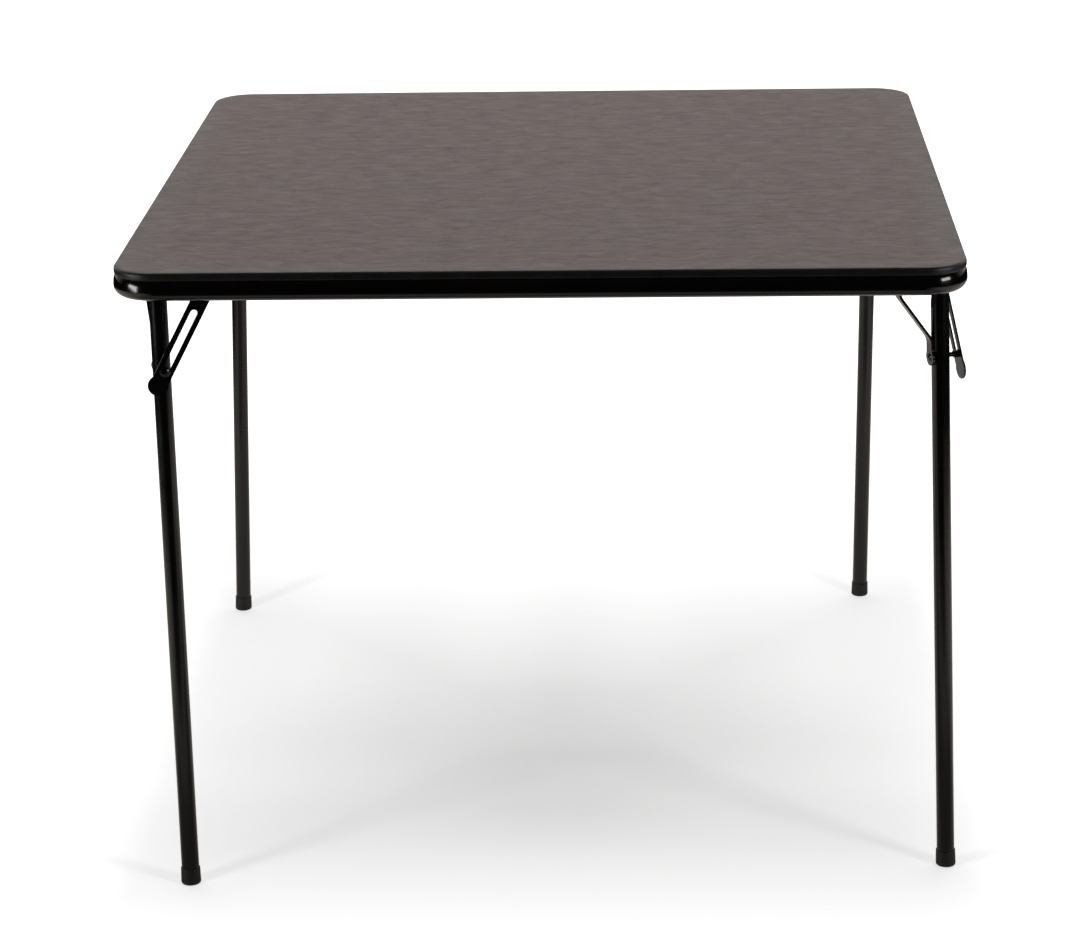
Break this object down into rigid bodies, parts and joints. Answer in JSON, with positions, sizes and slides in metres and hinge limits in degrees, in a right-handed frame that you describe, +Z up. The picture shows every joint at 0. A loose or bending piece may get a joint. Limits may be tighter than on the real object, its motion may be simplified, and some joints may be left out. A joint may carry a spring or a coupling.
{
  "type": "folding table",
  "caption": "Square padded card table with a rolled steel frame and folding tube legs locked by slotted braces.",
  "frame": {"origin": "on the floor under the centre of the table top, legs open", "axes": "+Z up, -Y to the front edge, +X to the right edge seen from the front"},
  "size_m": [0.8874, 0.8874, 0.686],
  "materials": {
    "vinyl": "grained vinyl, satin",
    "foam": "open foam",
    "hardboard": "smooth hardboard",
    "frame_enamel": "gloss",
    "bracket_enamel": "gloss",
    "leg_enamel": "gloss",
    "screw_steel": "zinc plated",
    "cap_rubber": "matte"
  },
  "bodies": {
    "table_top": {"vinyl_cover": "vinyl", "foam_pad": "foam", "panel_board": "hardboard", "steel_frame": "frame_enamel", "frame_screws": "screw_steel", "bracket_rivets": "bracket_enamel", "front_left_bracket": "bracket_enamel", "front_left_hinge_pin": "bracket_enamel", "front_left_brace_rivet": "bracket_enamel", "front_right_bracket": "bracket_enamel", "front_right_hinge_pin": "bracket_enamel", "front_right_brace_rivet": "bracket_enamel", "back_right_bracket": "bracket_enamel", "back_right_hinge_pin": "bracket_enamel", "back_right_brace_rivet": "bracket_enamel", "back_left_bracket": "bracket_enamel", "back_left_hinge_pin": "bracket_enamel", "back_left_brace_rivet": "bracket_enamel"},
    "front_left_leg_body": {"front_left_leg": "leg_enamel", "front_left_foot_cap": "cap_rubber", "front_left_stay": "leg_enamel", "front_left_lock_pin": "leg_enamel"},
    "front_left_brace_body": {"front_left_brace": "leg_enamel"},
    "front_left_guide_body": {"front_left_guide_rivet": "leg_enamel"},
    "front_right_leg_body": {"front_right_leg": "leg_enamel", "front_right_foot_cap": "cap_rubber", "front_right_stay": "leg_enamel", "front_right_lock_pin": "leg_enamel"},
    "front_right_brace_body": {"front_right_brace": "leg_enamel"},
    "front_right_guide_body": {"front_right_guide_rivet": "leg_enamel"},
    "back_right_leg_body": {"back_right_leg": "leg_enamel", "back_right_foot_cap": "cap_rubber", "back_right_stay": "leg_enamel", "back_right_lock_pin": "leg_enamel"},
    "back_right_brace_body": {"back_right_brace": "leg_enamel"},
    "back_right_guide_body": {"back_right_guide_rivet": "leg_enamel"},
    "back_left_leg_body": {"back_left_leg": "leg_enamel", "back_left_foot_cap": "cap_rubber", "back_left_stay": "leg_enamel", "back_left_lock_pin": "leg_enamel"},
    "back_left_brace_body": {"back_left_brace": "leg_enamel"},
    "back_left_guide_body": {"back_left_guide_rivet": "leg_enamel"}
  },
  "joints": [
    {"name": "front_left_leg_fold", "type": "hinge", "parent": "table_top", "child": "front_left_leg_body", "pos_m": [-0.3917, -0.4109, 0.6647], "axis": [0.3254, -0.945, 0.033], "range_deg": [0, 90.34]},
    {"name": "front_left_brace_swing", "type": "hinge", "parent": "table_top", "child": "front_left_brace_body", "pos_m": [-0.34632, -0.39527, 0.6647], "axis": [0.3254, -0.945, 0.033], "range_deg": [0, 119.64]},
    {"name": "front_left_guide_slide", "type": "slide", "parent": "front_left_brace_body", "child": "front_left_guide_body", "axis": [0.4581, 0.188, 0.8688], "range_m": [0, 0.06084]},
    {"name": "front_right_leg_fold", "type": "hinge", "parent": "table_top", "child": "front_right_leg_body", "pos_m": [0.4109, -0.3917, 0.6647], "axis": [0.945, 0.3254, 0.033], "range_deg": [0, 90.34]},
    {"name": "front_right_brace_swing", "type": "hinge", "parent": "table_top", "child": "front_right_brace_body", "pos_m": [0.39527, -0.34632, 0.6647], "axis": [0.945, 0.3254, 0.033], "range_deg": [0, 119.64]},
    {"name": "front_right_guide_slide", "type": "slide", "parent": "front_right_brace_body", "child": "front_right_guide_body", "axis": [-0.188, 0.4581, 0.8688], "range_m": [0, 0.06084]},
    {"name": "back_right_leg_fold", "type": "hinge", "parent": "table_top", "child": "back_right_leg_body", "pos_m": [0.3917, 0.4109, 0.6647], "axis": [-0.3254, 0.945, 0.033], "range_deg": [0, 90.34]},
    {"name": "back_right_brace_swing", "type": "hinge", "parent": "table_top", "child": "back_right_brace_body", "pos_m": [0.34632, 0.39527, 0.6647], "axis": [-0.3254, 0.945, 0.033], "range_deg": [0, 119.64]},
    {"name": "back_right_guide_slide", "type": "slide", "parent": "back_right_brace_body", "child": "back_right_guide_body", "axis": [-0.4581, -0.188, 0.8688], "range_m": [0, 0.06084]},
    {"name": "back_left_leg_fold", "type": "hinge", "parent": "table_top", "child": "back_left_leg_body", "pos_m": [-0.4109, 0.3917, 0.6647], "axis": [-0.945, -0.3254, 0.033], "range_deg": [0, 90.34]},
    {"name": "back_left_brace_swing", "type": "hinge", "parent": "table_top", "child": "back_left_brace_body", "pos_m": [-0.39527, 0.34632, 0.6647], "axis": [-0.945, -0.3254, 0.033], "range_deg": [0, 119.64]},
    {"name": "back_left_guide_slide", "type": "slide", "parent": "back_left_brace_body", "child": "back_left_guide_body", "axis": [0.188, -0.4581, 0.8688], "range_m": [0, 0.06084]}
  ],
  "couplings": [
    {"joint": "front_left_brace_swing", "follows": "front_left_leg_fold", "ratio": 1.3242},
    {"joint": "front_left_guide_slide", "follows": "front_left_leg_fold", "m_per_rad": 0.038577},
    {"joint": "front_right_brace_swing", "follows": "front_right_leg_fold", "ratio": 1.3242},
    {"joint": "front_right_guide_slide", "follows": "front_right_leg_fold", "m_per_rad": 0.038577},
    {"joint": "back_right_brace_swing", "follows": "back_right_leg_fold", "ratio": 1.3242},
    {"joint": "back_right_guide_slide", "follows": "back_right_leg_fold", "m_per_rad": 0.038577},
    {"joint": "back_left_brace_swing", "follows": "back_left_leg_fold", "ratio": 1.3242},
    {"joint": "back_left_guide_slide", "follows": "back_left_leg_fold", "m_per_rad": 0.038577}
  ]
}
